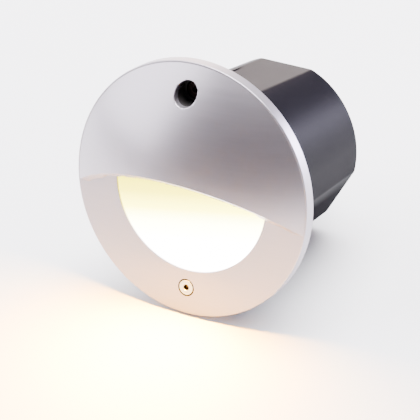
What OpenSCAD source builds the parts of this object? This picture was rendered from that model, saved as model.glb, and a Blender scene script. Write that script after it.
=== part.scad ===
// Round recessed wall light with an eyelid hood, for an outdoor wall, porch or step.
// A die-cast front cover with its diffuser is held by two countersunk screws to a black
// housing that sits in the wall and holds the light unit, the driver and the cable gland.
// The origin is the centre of the wall plane, +Y goes into the wall and +Z is up.
// All sizes are in millimetres.

/* [Front cover] */
// Diameter of the light opening in the front plate
opening_d = 78; // [75:0.5:81]
// Width of the ring from the light opening to the plate's edge
ring_w = 21; // [19.5:0.5:28]
// Thickness of the front plate
plate_t = 3; // [2.6:0.1:4.5]
// Thickness of the plate's outer rim
rim_wall = 3; // [1.5:0.1:4]
// Chamfer on the plate's front edge
edge_chamfer = 0.7; // [0.3:0.1:1.4]
// Height of the hood's ball shape over the front face, at its centre
hood_height = 20.5; // [12:0.5:32]
// Wall thickness of the hood
hood_wall = 2.8; // [1.6:0.1:3.6]
// How far the hood's corners lie below the plate's centre
hood_drop = 8.5; // [0:0.5:16]
// Tilt of the hood's lower edge, upwards to the front
hood_tilt = 41.8; // [25:0.2:55]
// Diameter of the driver hole through the hood
access_hole_d = 11.2; // [9.4:0.1:14]
// Wall thickness of the tube that leads from the driver hole to the upper cover screw
access_wall = 1.4; // [1:0.1:1.5]

/* [Diffuser] */
// How far the diffuser lies behind the front face
diffuser_recess = 0.2; // [0.1:0.1:1]
// Wall thickness of the diffuser
diffuser_wall = 2; // [1.2:0.1:2.4]
// Width of the seat that the plate gives the diffuser's flange
diffuser_lip = 2.6; // [2:0.1:4]
// Thickness of the diffuser's flange
diffuser_flange_t = 2; // [1.2:0.1:2.4]
// Thickness of the snap ring behind the diffuser
snap_ring_t = 1.6; // [0.8:0.1:1.8]
// Wall thickness of the spigot round the diffuser
spigot_wall = 1.4; // [1:0.1:2.4]

/* [Cover screws] */
// Thread diameter of the cover screws
screw_d = 4; // [3:0.1:4.4]
// Length of a cover screw, head included
screw_length = 12; // [11:0.5:14]
// Diameter of a cover screw's head
screw_head_d = 7.3; // [6.6:0.1:8]
// Width across flats of the hexagon socket
socket_af = 2.5; // [2:0.1:3]
// Width of the black sealing washer that shows round the head
washer_ring = 0.5; // [0.3:0.05:0.9]
// Outer diameter of a threaded insert
insert_d = 5.6; // [5.4:0.1:6.4]
// Length of a threaded insert
insert_length = 6; // [4:0.5:7]

/* [Housing] */
// Depth of the housing behind the wall plane
housing_depth = 77.7; // [74:0.1:100]
// Wall thickness of the housing
housing_wall = 2.2; // [1.6:0.1:2.8]
// Thickness of the housing's rear wall
rear_wall = 2.5; // [1.8:0.1:4]
// Draft angle of the housing
draft = 3.25; // [1:0.05:3.8]
// How far each of the three flats lies inside the round shape
flat_inset = 2.3; // [1:0.1:3]
// Thickness of the housing's flange
flange_t = 2; // [1.5:0.1:3]
// Depth of the round mouth behind the wall plane
mouth_depth = 5.2; // [4.8:0.1:7]
// Wall thickness of the collar round the mouth
collar_wall = 2.2; // [1.8:0.1:3]
// Step from the collar in to the drafted body
collar_step = 1.6; // [0.8:0.1:2]
// Diameter of the wall fixing holes
fixing_hole_d = 4.5; // [3.4:0.1:5]
// Distance between the two wall fixing holes
fixing_pitch = 100; // [99:0.5:101]
// Width of the moulded groove in the upper flat
groove_w = 1.4; // [0.8:0.1:2]
// Depth at which the groove starts, behind the wall plane
groove_start = 24; // [20:0.5:36]
// Depth at which the groove runs out, behind the wall plane
groove_end = 59.2; // [50:0.1:66]

/* [Seals] */
// Thickness of the ring gasket between plate and housing, and of the diffuser's gasket
gasket_t = 0.8; // [0.5:0.1:1.2]
// Width of the ring gasket between plate and housing
gasket_w = 1; // [0.6:0.05:1.1]

/* [Light unit] */
// Depth of the heat sink's front face behind the wall plane
light_depth = 34; // [30:0.5:36]
// Thickness of the heat sink's disc
sink_t = 4; // [3.6:0.1:5]
// Height of the heat sink's fins
fin_h = 12; // [6:0.5:16]
// Space between the reflector's rear end and the heat sink's screws
board_gap = 1.9; // [0.6:0.1:4]
// Thickness of the LED board
board_t = 1.6; // [1:0.1:2]
// Side of an LED
led_size = 3; // [2:0.1:3.2]
// Height of an LED
led_h = 0.8; // [0.5:0.1:1.4]
// Diameter of the outer ring of LEDs
led_ring_d = 40; // [38:1:41]
// Number of LEDs in the outer ring
led_count = 12; // [6:1:16]
// Wall thickness of the reflector
reflector_wall = 1.4; // [1:0.1:1.8]

/* [Driver] */
// Space between the driver's case and the housing's posts
driver_gap = 2; // [1:0.1:4]
// Space between the driver's upper corners and the heat sink's edge
driver_edge = 1.7; // [0.8:0.1:4]
// Height of the driver's case
driver_h = 22; // [20:0.5:24]
// Wall thickness of the driver's case
driver_wall = 1.5; // [1:0.1:2]

/* [Terminal block] */
// Distance from one pole to the next
pole_pitch = 8; // [7.8:0.1:8.6]
// Height of the terminal block
terminal_h = 16; // [15.5:0.1:18]
// Width of the terminal block, from wire entry to wire entry
terminal_w = 12; // [10:0.5:13]
// Diameter of a lead, insulation included
lead_d = 2.2; // [1.8:0.1:2.6]

/* [Cable gland] */
// Diameter of the gland's thread through the rear wall
gland_d = 16; // [15:0.1:18]
// How much wider than its thread the gland's hexagon is, across flats
gland_hex_step = 4; // [3:0.1:6]
// Diameter of the cable hole through the gland's seal
cable_hole_d = 8; // [6:0.1:9]

/* [Hidden] */
$fn = 96;
eps = 0.01;

// Clearances
fit = 0.05;
slip = 0.4;
loose = 0.3;
big = 300;

// Front cover
opening_r = opening_d / 2;
plate_r = opening_r + ring_w;
rim_depth = plate_t + gasket_t + flange_t;
y_face = -rim_depth;
y_plate_back = y_face + plate_t;
spigot_in_r = opening_r + diffuser_lip;
spigot_r = spigot_in_r + spigot_wall;
mouth_r = spigot_r + slip;
reflector_flange_t = 1.6;
y_reflector = mouth_depth - reflector_flange_t;
y_spigot_end = y_reflector - slip;
rim_in_r = plate_r - rim_wall;

// Hood: a ball whose edge meets the plate's chamfer
hood_base_r = plate_r - edge_chamfer;
hood_trim = 0.15;
hood_r = (pow(hood_base_r, 2) + pow(hood_height, 2)) / (2 * hood_height);
y_hood_centre = y_face - hood_height + hood_r;

// Cover screws, threaded inserts and their bosses
insert_land = 1.3;
screw_r = mouth_r + insert_land + insert_d / 2;
screw_places = [1, -1];
head_r = screw_head_d / 2;
washer_r = head_r + washer_ring;
sink_r = washer_r + fit;
shank_r = screw_d / 2;
screw_hole_r = shank_r + 0.25;
socket_depth = 1.4;
insert_bore_r = shank_r + fit;
y_insert_end = insert_length - flange_t;
boss_wall = 1.8;
boss_r = insert_d / 2 + boss_wall;
boss_bottom = 1.5;
screw_tip_gap = 1.3;
y_screw_tip = y_face + screw_length;
y_boss_hole = max(y_screw_tip, y_insert_end) + screw_tip_gap;
y_boss_end = y_boss_hole + boss_bottom;

// Housing
flange_r = rim_in_r - slip;
collar_r = mouth_r + collar_wall;
body_front_r = collar_r - collar_step;
collar_end = mouth_depth + housing_wall;
function body_r(y) = body_front_r - tan(draft) * y;
function flat_at(y) = body_r(y) - flat_inset;
function room_at(y) = flat_at(y) - housing_wall;
flat_angles = [90, 210, 330];
post_angles = [30, 150, 270];
y_rear = housing_depth;
y_rear_in = housing_depth - rear_wall;
fixing_r = fixing_hole_d / 2;
fixing_x = fixing_pitch / 2;
pocket_r = 4.8;
rim_gap = 0.1;
rib_w = 4.4;
rib_wall = 1.6;
rib_z = flat_at(groove_end) - rib_wall;
web_t = 3;
pocket_t = min(1.6, plate_t - 1.2);
groove_x = -11.7;

// Light unit
y_sink = light_depth;
y_sink_back = y_sink + sink_t;
sink_disc_r = room_at(y_sink_back) - 0.5;
post_inset = 3.3;
post_r = 4;
post_at = sink_disc_r - post_inset;
m3_r = 1.45;
m3_hole_r = m3_r + fit;
m3_free_r = 1.7;
m3_head_r = 2.75;
m3_head_h = 2;
m3_length = 9;
post_hole_end = 1;
y_board = y_sink - board_t;
board_rim = 0.5;
board_r = post_at - m3_head_r - board_gap - reflector_wall - board_rim;
board_screw_at = board_r - 2.7;
m25_r = 1.2;
m25_head_r = 2.2;
m25_head_h = 1.6;
m25_reach = board_t + sink_t - 0.8;
screw_reach = 2.8;
blind_depth = 3.1;
board_screw_angles = [90, 210, 330];
inner_led_count = 6;
inner_ring_share = 0.5;
reflector_front_r = room_at(mouth_depth) - loose - reflector_wall;
reflector_rear_r = board_r + board_rim;
fin_t = 1.6;
fin_xs = [sink_disc_r - 9.3, sink_disc_r - 5.8];
fin_z = [-1.5, 10.5];
wire_hole = [-14.6, -1];
wire_hole_r = 2;

// Driver
y_driver = y_sink_back;
y_driver_back = y_driver + driver_h;
driver_z0 = 3;
driver_x = post_at * cos(30) - post_r - driver_gap;
driver_z1 = sqrt(pow(sink_disc_r, 2) - pow(driver_x, 2)) - driver_edge;
driver_w = driver_z1 - driver_z0;
driver_zc = (driver_z0 + driver_z1) / 2;
ear_l = 6.4;
ear_w = 8;
ear_t = 2;
ears = [[0, driver_z1, 1], [12, driver_z0, -1]];
lid_t = 1.6;
pcb_t = 1.6;
standoff_h = 3;
pcb_gap = 0.4;
y_pcb = y_driver + driver_wall + standoff_h;
y_pcb_back = y_pcb + pcb_t;
capacitor_r = 4;
capacitor_h = 10;
capacitor_gap = 0.6;
capacitor_x = driver_x - driver_wall - capacitor_r - capacitor_gap;
capacitor_pitch = 2 * capacitor_r + capacitor_gap;
bobbin = [13, 2, 11];
winding_r = 4.8;
transformer_h = 10;
transformer_x = capacitor_x - capacitor_pitch - capacitor_r - 1.8 - bobbin[0] / 2;
driver_entry_y = y_driver + 15.5;
driver_entry_xs = [-5, 3];
led_entry_x = [-16.4, -12.8];
pad_z = driver_z0 + 4.4;
led_entry_y = y_driver + 12;

// Terminal block: a rising cage, a fixed contact bar and a screw for each pole
y_block = y_sink_back;
y_block_top = y_block + terminal_h;
block_z1 = -7;
block_z0 = block_z1 - terminal_w;
block_zc = (block_z0 + block_z1) / 2;
poles = [-pole_pitch, 0, pole_pitch];
pole_end = pole_pitch / 2 + 1.4;
cage_x = pole_pitch - 1.4;
cage_z = 6;
cage_wall = 1;
cage_top = 2;
cell_gap = 0.15;
bar_w = 4;
bar_t = 1;
conductor_d = 1.3;
y_bar = y_block + 7;
y_clamp = y_bar - conductor_d - 2 * fit;
y_cage = y_clamp - cage_wall;
y_cage_roof = y_bar + bar_t + 3;
cage_travel = 2.4;
t_head_h = 1.8;
t_head_r = 2.6;
t_recess = 0.3;
y_t_head = y_block_top - t_head_h - t_recess;
t_shank_r = 1.45;
entry_r = lead_d / 2 + 0.2;
lead_y = y_bar - conductor_d / 2 - fit;
block_ear = 6;
ear_screw_x = pole_pitch + pole_end + block_ear / 2;

// Earth tag on the back of the heat sink
earth_at = [sink_disc_r - 8.2, -6];
tag_t = 0.8;
tag_r = 3.6;
barrel = [3, 2.4, 2.6];
barrel_x = earth_at[0] - tag_r - 0.3;
m4_head_r = 3.4;
m4_head_h = 2.4;

// Cable gland, measured from the housing's rear face
g_washer_t = 1.2;
g_hex_h = 5;
g_spigot = 6;
g_lock_t = 4;
g_outer_r = gland_d / 2 - 0.6;
g_outer_l = 9;
g_bore_r = cable_hole_d / 2 + 0.6;
g_seat_r = cable_hole_d / 2 + 1.8;
gland_af = gland_d + gland_hex_step;
g_hex_r = gland_af / 2 / cos(30);
g_washer_r = gland_af / 2 - 0.2;
y_hex = y_rear + g_washer_t;
y_g_thread = y_hex + g_hex_h;
y_g_end = y_g_thread + g_outer_l;
y_seat = y_g_thread + 1;
g_lip_t = 1.2;
g_lip_r = g_seat_r + 0.8;
y_slip = y_g_end + g_lip_t + fit;
g_slip_t = 1;
g_slip_r = g_outer_r - 0.2;
y_nut = y_g_thread + 0.8;
y_nut_wall = y_slip + g_slip_t + fit;
g_nut_wall = 2.8;
y_nut_end = y_nut_wall + g_nut_wall;
g_nut_hole_r = cable_hole_d / 2 + 1;

// Leads: points chosen by hand, each from its clamp or pad to its end
lead_sides = 8;
lead_steps = 2;
led_lead_d = 1.4;
function mains_route(x) = [
    [x, lead_y, block_z1 - 7.4], [x, lead_y, block_z1 - 0.6], [x + 0.4, lead_y + 0.9, block_z1 + 2.8],
    [x + 2.4, driver_entry_y - 3, block_z1 + 4.6], [x + 3, driver_entry_y, driver_z0 - 2],
    [x + 3, driver_entry_y, driver_z0 + 1.6], [x + 3, driver_entry_y - 3.5, pad_z],
    [x + 3, y_pcb_back, pad_z]
];
barrel_end = barrel_x - barrel[0];
earth_route = [
    [poles[2], lead_y, block_z1 - 7.4], [poles[2], lead_y, block_z1 - 0.6],
    [poles[2] + 1, lead_y, block_z1 + 2.8], [poles[2] + 4, lead_y, block_z1 + 4],
    [barrel_end - 6.2, lead_y - 0.7, block_z1 + 3.4], [barrel_end - 3.7, y_sink_back + 3.6, earth_at[1] + 1],
    [barrel_end - 2, y_sink_back + 1.2, earth_at[1]], [barrel_end, y_sink_back + 1.2, earth_at[1]]
];
function led_route(x, hole_x) = [
    [x, y_pcb_back, pad_z], [x, led_entry_y - 1.6, pad_z - 0.2], [x, led_entry_y, driver_z0 + 0.8],
    [(x + hole_x) / 2, led_entry_y - 3, wire_hole[1] + 1.2], [hole_x, y_sink_back + 2, wire_hole[1]],
    [hole_x, y_board + 0.6, wire_hole[1]], [hole_x, y_board - 1.8, wire_hole[1] - 2.8],
    [hole_x, y_board, wire_hole[1] - 2.8]
];

// A round bar along Y
module rod(r, y0, y1, x = 0, z = 0) {
    translate([x, y0, z]) rotate([-90, 0, 0]) cylinder(r = r, h = y1 - y0);
}

// A cone along Y
module cone(r0, r1, y0, y1, x = 0, z = 0) {
    translate([x, y0, z]) rotate([-90, 0, 0]) cylinder(r1 = r0, r2 = r1, h = y1 - y0);
}

// A ring about the Y axis
module ring(ro, ri, y0, y1) {
    difference() {
        rod(ro, y0, y1);
        rod(ri, y0 - 1, y1 + 1);
    }
}

// A hexagonal bar along Y
module hex_rod(r, y0, y1, x = 0, z = 0) {
    translate([x, y0, z]) rotate([-90, 0, 0]) cylinder(r = r, h = y1 - y0, $fn = 6);
}

// A box between two corners
module block(a, b) {
    translate(a) cube(b - a);
}

// A shape turned about the Y axis from an outline of [radius, y] points
module turned(points, x = 0, z = 0) {
    translate([x, 0, z]) rotate([-90, 0, 0]) rotate_extrude() polygon(points);
}

// A copy at a radius and an angle, seen from the front with 90 degrees at the top
module at(r, angle) {
    translate([r * cos(angle), 0, r * sin(angle)]) children();
}

// The housing's drafted round body with its three flats, made smaller by wall
module drafted_body(wall, y0, y1) {
    difference() {
        cone(body_r(y0) - wall, body_r(y1) - wall, y0, y1);
        for (angle = flat_angles) {
            rotate([0, -angle, 0])
            translate([flat_at(0) - wall, 0, 0])
            rotate([0, 0, draft])
            translate([0, -big / 2, -big / 2]) cube([big, big, big]);
        }
    }
}

// Points of a smooth path through hand-chosen points
function mix(p, q, r, s, t) = 0.5 * (2 * q + (r - p) * t + (2 * p - 5 * q + 4 * r - s) * t * t
    + (3 * q - p - 3 * r + s) * t * t * t);
function pick(pts, i) = pts[max(0, min(len(pts) - 1, i))];
function smooth(pts) = concat(
    [for (i = [0 : len(pts) - 2], k = [0 : lead_steps - 1])
        mix(pick(pts, i - 1), pts[i], pts[i + 1], pick(pts, i + 2), k / lead_steps)],
    [pts[len(pts) - 1]]);
function unit(v) = v / norm(v);
function heading(path, pts, i) = i == 0 ? unit(pts[1] - pts[0])
    : i == len(path) - 1 ? unit(pts[len(pts) - 1] - pts[len(pts) - 2])
    : unit(path[i + 1] - path[i - 1]);

// A tube swept through hand-chosen points, bare conductor up to ring number bare
module lead(pts, d, side, bare = -1) {
    path = smooth(pts);
    n = len(path);
    rings = [for (i = [0 : n - 1])
        let (t = heading(path, pts, i), u = unit(cross(side, t)), v = cross(t, u),
            r = (i <= bare ? conductor_d : d) / 2)
        [for (k = [0 : lead_sides - 1])
            path[i] + r * (cos(k * 360 / lead_sides) * u + sin(k * 360 / lead_sides) * v)]];
    points = [for (ring = rings) each ring];
    walls = [for (i = [0 : n - 2], k = [0 : lead_sides - 1])
        let (a = i * lead_sides + k, b = i * lead_sides + (k + 1) % lead_sides)
        each [[a, b + lead_sides, b], [a, a + lead_sides, b + lead_sides]]];
    start = [for (k = [0 : lead_sides - 1]) k];
    end = [for (k = [lead_sides - 1 : -1 : 0]) (n - 1) * lead_sides + k];
    polyhedron(points, concat([start], walls, [end]), convexity = 8);
}

// Hood: a ball shell with a tube inside it from the driver hole to the plate
module hood() {
    difference() {
        intersection() {
            translate([0, y_hood_centre, 0]) sphere(r = hood_r);
            rod(hood_base_r - hood_trim, y_face - big, y_face + plate_t / 2);
        }
        difference() {
            translate([0, y_hood_centre, 0]) sphere(r = hood_r - hood_wall);
            rod(access_hole_d / 2 + access_wall, y_face - big, y_face + plate_t, 0, screw_r);
        }
        translate([0, y_face, -hood_drop])
        rotate([-hood_tilt, 0, 0])
        translate([-big / 2, -big / 2, -big]) cube([big, big, big]);
        rod(access_hole_d / 2, y_face - big, y_face + plate_t, 0, screw_r);
    }
}

// Front cover: plate, rim, spigot and hood in one casting
module front_cover() {
    color([0.72, 0.72, 0.75])
    union() {
        difference() {
            union() {
                cone(plate_r - edge_chamfer, plate_r, y_face, y_face + edge_chamfer);
                rod(plate_r, y_face + edge_chamfer, -rim_gap);
            }
            rod(rim_in_r, y_plate_back, 1);
            rod(opening_r, y_face - 1, 1);
            for (s = screw_places) {
                rod(screw_hole_r, y_face - 1, 1, 0, s * screw_r);
                cone(sink_r + 1, 0, y_face - 1, y_face + sink_r, 0, s * screw_r);
            }
            for (s = [-1, 1]) rod(pocket_r, y_plate_back - pocket_t, 1, s * fixing_x, 0);
        }
        ring(spigot_r, spigot_in_r, y_plate_back - eps, y_spigot_end);
        hood();
    }
}

module cover_gasket() {
    color([0.1, 0.1, 0.11])
    ring(mouth_r + 0.15 + gasket_w, mouth_r + 0.15, y_plate_back, -flange_t);
}

// Diffuser, its gasket and its snap ring
y_diffuser_flange = y_plate_back + gasket_t;
diffuser_r = opening_r - 0.2;
diffuser_flange_r = spigot_in_r - loose;

module diffuser() {
    color([0.98, 0.97, 0.88])
    turned([
        [0, y_face + diffuser_recess],
        [diffuser_r, y_face + diffuser_recess],
        [diffuser_r, y_diffuser_flange],
        [diffuser_flange_r, y_diffuser_flange],
        [diffuser_flange_r, y_diffuser_flange + diffuser_flange_t],
        [diffuser_r - diffuser_wall, y_diffuser_flange + diffuser_flange_t],
        [diffuser_r - diffuser_wall, y_face + diffuser_recess + diffuser_wall],
        [0, y_face + diffuser_recess + diffuser_wall]
    ]);
}

module diffuser_gasket() {
    color([0.85, 0.85, 0.83])
    ring(diffuser_flange_r, diffuser_r + 0.4, y_plate_back, y_diffuser_flange);
}

module diffuser_snap_ring() {
    color([0.9, 0.9, 0.88])
    ring(spigot_in_r - fit, diffuser_r - diffuser_wall + 0.4,
        y_diffuser_flange + diffuser_flange_t, y_diffuser_flange + diffuser_flange_t + snap_ring_t);
}

// Countersunk screw and its conical sealing washer, at height z
module cover_screw(z) {
    color([0.8, 0.8, 0.78])
    difference() {
        turned([
            [0, y_face], [head_r, y_face], [shank_r, y_face + head_r - shank_r],
            [shank_r, y_screw_tip - 0.5], [shank_r - 0.5, y_screw_tip], [0, y_screw_tip]
        ], 0, z);
        hex_rod(socket_af / 2 / cos(30), y_face - 1, y_face + socket_depth, 0, z);
    }
}

module cover_screw_top() { cover_screw(screw_r); }
module cover_screw_bottom() { cover_screw(-screw_r); }

module screw_washer(z) {
    washer_in_r = shank_r + fit * 2;
    color([0.06, 0.06, 0.06])
    turned([
        [head_r + fit, y_face], [washer_r, y_face],
        [washer_in_r + fit, y_face + washer_r - washer_in_r - fit],
        [washer_in_r, y_face + washer_r - washer_in_r - fit],
        [washer_in_r, y_face + head_r + fit - washer_in_r]
    ], 0, z);
}

module screw_washer_top() { screw_washer(screw_r); }
module screw_washer_bottom() { screw_washer(-screw_r); }

module threaded_inserts() {
    color([0.78, 0.62, 0.3])
    for (s = screw_places) {
        difference() {
            rod(insert_d / 2, -flange_t, y_insert_end, 0, s * screw_r);
            rod(insert_bore_r, -flange_t - 1, y_insert_end + 1, 0, s * screw_r);
        }
    }
}

// Housing in the wall: flange, collar, drafted body with three flats, and its posts
module recess_housing() {
    color([0.09, 0.09, 0.1])
    difference() {
        union() {
            rod(flange_r, -flange_t, 0);
            rod(collar_r, -eps, collar_end);
            for (s = screw_places) rod(boss_r, -eps, y_boss_end, 0, s * screw_r);
            difference() {
                drafted_body(0, 1, y_rear);
                block([groove_x - groove_w / 2, groove_start, flat_at(groove_end)],
                    [groove_x + groove_w / 2, groove_end + 5, big]);
            }
        }
        rod(mouth_r, -flange_t - 1, mouth_depth);
        difference() {
            drafted_body(housing_wall, 1, y_rear_in);
            for (angle = post_angles) {
                at(post_at, angle) rod(post_r, y_sink_back, y_rear_in + 1);
                rotate([0, -angle, 0])
                block([post_at + m3_hole_r + 1, y_sink_back, -web_t / 2], [big, y_rear_in + 1, web_t / 2]);
            }
            block([groove_x - rib_w / 2, groove_start - rib_wall, rib_z],
                [groove_x + rib_w / 2, groove_end, big]);
        }
        for (s = screw_places) {
            rod(insert_d / 2 + eps, -flange_t - 1, y_insert_end, 0, s * screw_r);
            rod(screw_hole_r, 0, y_boss_hole, 0, s * screw_r);
        }
        for (s = [-1, 1]) rod(fixing_r, -flange_t - 1, 1, s * fixing_x, 0);
        rod(gland_d / 2 + 0.1, y_rear_in - 1, y_rear + 1);
        for (angle = post_angles) {
            at(post_at, angle) rod(m3_hole_r, y_sink_back - 1, y_sink + m3_length + post_hole_end);
        }
    }
}

// Light unit
module reflector() {
    depth = y_sink - loose - y_reflector;
    lean = (reflector_front_r - reflector_rear_r) / depth;
    step_r = reflector_front_r - lean * reflector_flange_t + reflector_wall;
    color([0.95, 0.95, 0.94])
    turned([
        [reflector_front_r, y_reflector], [mouth_r - loose, y_reflector],
        [mouth_r - loose, mouth_depth], [step_r, mouth_depth],
        [reflector_rear_r + reflector_wall, y_sink - loose],
        [reflector_rear_r, y_sink - loose]
    ]);
}

module led_board() {
    color([0.93, 0.94, 0.93])
    difference() {
        rod(board_r, y_board, y_sink);
        for (angle = board_screw_angles) at(board_screw_at, angle) rod(m25_r + 0.2, y_board - 1, y_sink + 1);
        rod(wire_hole_r, y_board - 1, y_sink + 1, wire_hole[0], wire_hole[1]);
    }
}

module one_led() {
    block([-led_size / 2, y_board - led_h, -led_size / 2], [led_size / 2, y_board, led_size / 2]);
}

module leds() {
    color([0.96, 0.86, 0.4]) {
        for (i = [0 : led_count - 1]) at(led_ring_d / 2, 15 + i * 360 / led_count) one_led();
        for (i = [0 : inner_led_count - 1]) {
            at(led_ring_d / 2 * inner_ring_share, i * 360 / inner_led_count) one_led();
        }
    }
}

module led_board_screws() {
    color([0.75, 0.75, 0.73])
    for (angle = board_screw_angles) {
        at(board_screw_at, angle) union() {
            rod(m25_head_r, y_board - m25_head_h, y_board);
            rod(m25_r, y_board - eps, y_board + m25_reach);
        }
    }
}

module heat_sink() {
    color([0.75, 0.76, 0.77])
    difference() {
        union() {
            rod(sink_disc_r, y_sink, y_sink_back);
            for (x = fin_xs, s = [-1, 1]) {
                block([s * x - fin_t / 2, y_sink_back - eps, fin_z[0]],
                    [s * x + fin_t / 2, y_sink_back + fin_h, fin_z[1]]);
            }
        }
        for (angle = board_screw_angles) {
            at(board_screw_at, angle) rod(m25_r + fit, y_sink - 1, y_board + m25_reach + 0.3);
        }
        for (angle = post_angles) at(post_at, angle) rod(m3_free_r, y_sink - 1, y_sink_back + 1);
        rod(wire_hole_r, y_sink - 1, y_sink_back + 1, wire_hole[0], wire_hole[1]);
        for (ear = ears) rod(m3_hole_r, y_sink_back - blind_depth, y_sink_back + 1, ear[0], ear_z(ear));
        for (s = [-1, 1]) rod(m25_r + fit, y_sink_back - blind_depth, y_sink_back + 1, s * ear_screw_x, block_zc);
        rod(shank_r + fit, y_sink_back - blind_depth, y_sink_back + 1, earth_at[0], earth_at[1]);
    }
}

module heat_sink_screws() {
    color([0.75, 0.75, 0.73])
    for (angle = post_angles) {
        at(post_at, angle) union() {
            rod(m3_head_r, y_sink - m3_head_h, y_sink);
            rod(m3_r, y_sink - eps, y_sink + m3_length);
        }
    }
}

// LED driver
function ear_z(ear) = ear[1] + ear[2] * ear_l / 2;

module driver_case() {
    inner0 = [-driver_x + driver_wall, y_driver + driver_wall, driver_z0 + driver_wall];
    inner1 = [driver_x - driver_wall, y_driver_back + 1, driver_z1 - driver_wall];
    color([0.88, 0.88, 0.86])
    union() {
        difference() {
            block([-driver_x, y_driver, driver_z0], [driver_x, y_driver_back - lid_t, driver_z1]);
            block(inner0, inner1);
            for (x = driver_entry_xs) {
                rod_z(lead_d / 2 + 0.6, driver_z0 - 1, driver_z0 + driver_wall + 1, x, driver_entry_y);
            }
            for (x = led_entry_x) {
                rod_z(led_lead_d / 2 + 0.6, driver_z0 - 1, driver_z0 + driver_wall + 1, x, led_entry_y);
            }
        }
        for (ear = ears) {
            difference() {
                block([ear[0] - ear_w / 2, y_driver, min(ear[1], ear[1] + ear[2] * ear_l)],
                    [ear[0] + ear_w / 2, y_driver + ear_t, max(ear[1], ear[1] + ear[2] * ear_l)]);
                rod(m3_free_r, y_driver - 1, y_driver + ear_t + 1, ear[0], ear_z(ear));
            }
        }
        for (sx = [-1, 1], sz = [-1, 1]) {
            rod(1.6, y_driver + driver_wall - eps, y_pcb,
                sx * (driver_x - driver_wall - 2.4), driver_zc + sz * (driver_w / 2 - driver_wall - 2.4));
        }
    }
}

// A round bar along Z
module rod_z(r, z0, z1, x, y) {
    translate([x, y, z0]) cylinder(r = r, h = z1 - z0);
}

module driver_lid() {
    lip = driver_wall + 0.15;
    color([0.82, 0.82, 0.8])
    union() {
        block([-driver_x, y_driver_back - lid_t, driver_z0], [driver_x, y_driver_back, driver_z1]);
        difference() {
            block([-driver_x + lip, y_driver_back - lid_t - 1.4, driver_z0 + lip],
                [driver_x - lip, y_driver_back - lid_t + eps, driver_z1 - lip]);
            block([-driver_x + lip + 1, y_driver_back - lid_t - 2, driver_z0 + lip + 1],
                [driver_x - lip - 1, y_driver_back - lid_t, driver_z1 - lip - 1]);
        }
    }
}

module driver_board() {
    edge = driver_wall + pcb_gap;
    color([0.1, 0.35, 0.16])
    block([-driver_x + edge, y_pcb, driver_z0 + edge], [driver_x - edge, y_pcb_back, driver_z1 - edge]);
}

module driver_transformer() {
    color([0.85, 0.75, 0.2])
    translate([transformer_x, y_pcb_back, driver_zc + 1]) union() {
        block([-bobbin[0] / 2, 0, -bobbin[2] / 2], [bobbin[0] / 2, bobbin[1], bobbin[2] / 2]);
        rod(winding_r, bobbin[1] - eps, transformer_h - bobbin[1] + eps);
        block([-bobbin[0] / 2, transformer_h - bobbin[1], -bobbin[2] / 2],
            [bobbin[0] / 2, transformer_h, bobbin[2] / 2]);
    }
}

module driver_capacitors() {
    color([0.12, 0.12, 0.2])
    for (x = [capacitor_x, capacitor_x - capacitor_pitch]) {
        rod(capacitor_r, y_pcb_back, y_pcb_back + capacitor_h, x, driver_zc);
    }
}

module driver_screws() {
    color([0.75, 0.75, 0.73])
    for (ear = ears) {
        union() {
            rod(m3_head_r, y_driver + ear_t, y_driver + ear_t + m3_head_h, ear[0], ear_z(ear));
            rod(m3_r, y_driver - screw_reach, y_driver + ear_t + eps, ear[0], ear_z(ear));
        }
    }
}

// Terminal block with a cell for each pole, open along Z for the wires
module terminal_block() {
    color([0.9, 0.9, 0.86])
    difference() {
        union() {
            block([-pole_pitch - pole_end, y_block, block_z0], [pole_pitch + pole_end, y_block_top, block_z1]);
            for (s = [-1, 1]) {
                block([min(s * (pole_pitch + pole_end), s * (pole_pitch + pole_end + block_ear)), y_block, block_zc - 3.5],
                    [max(s * (pole_pitch + pole_end), s * (pole_pitch + pole_end + block_ear)), y_block + 2.4, block_zc + 3.5]);
            }
        }
        for (x = poles) {
            block([x - cage_x / 2 - cell_gap, y_cage - cage_travel - 0.2, block_zc - cage_z / 2 - cell_gap],
                [x + cage_x / 2 + cell_gap, y_t_head, block_zc + cage_z / 2 + cell_gap]);
            rod(t_shank_r + 0.4, y_t_head - 1, y_block_top + 1, x, block_zc);
            rod(t_head_r + 0.3, y_t_head - eps, y_block_top + 1, x, block_zc);
            block([x - bar_w / 2, y_bar, block_z0 + 1], [x + bar_w / 2, y_bar + bar_t, block_z1 - 1]);
            rod_z(entry_r, block_z0 - 1, block_z1 + 1, x, lead_y);
        }
        for (s = [-1, 1]) rod(m25_r + 0.2, y_block - 1, y_block + 4, s * ear_screw_x, block_zc);
    }
}

module terminal_bars() {
    color([0.8, 0.65, 0.3])
    for (x = poles) {
        block([x - bar_w / 2, y_bar, block_z0 + 1], [x + bar_w / 2, y_bar + bar_t, block_z1 - 1]);
    }
}

module terminal_block_screws() {
    color([0.75, 0.75, 0.73])
    for (s = [-1, 1]) {
        union() {
            rod(m25_head_r, y_block + 2.4, y_block + 2.4 + m25_head_h, s * ear_screw_x, block_zc);
            rod(m25_r, y_block - screw_reach, y_block + 2.4 + eps, s * ear_screw_x, block_zc);
        }
    }
}

// Brass cage that rises towards the screw's head as the screw turns
module terminal_cage(x) {
    color([0.8, 0.65, 0.3])
    difference() {
        block([x - cage_x / 2, y_cage, block_zc - cage_z / 2],
            [x + cage_x / 2, y_cage_roof + cage_top, block_zc + cage_z / 2]);
        block([x - cage_x / 2 + cage_wall, y_clamp, block_zc - cage_z],
            [x + cage_x / 2 - cage_wall, y_cage_roof, block_zc + cage_z]);
        rod(t_shank_r + fit, y_cage_roof - 1, y_cage_roof + cage_top + 1, x, block_zc);
    }
}

module terminal_cage_live() { terminal_cage(poles[0]); }
module terminal_cage_neutral() { terminal_cage(poles[1]); }
module terminal_cage_earth() { terminal_cage(poles[2]); }

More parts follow.
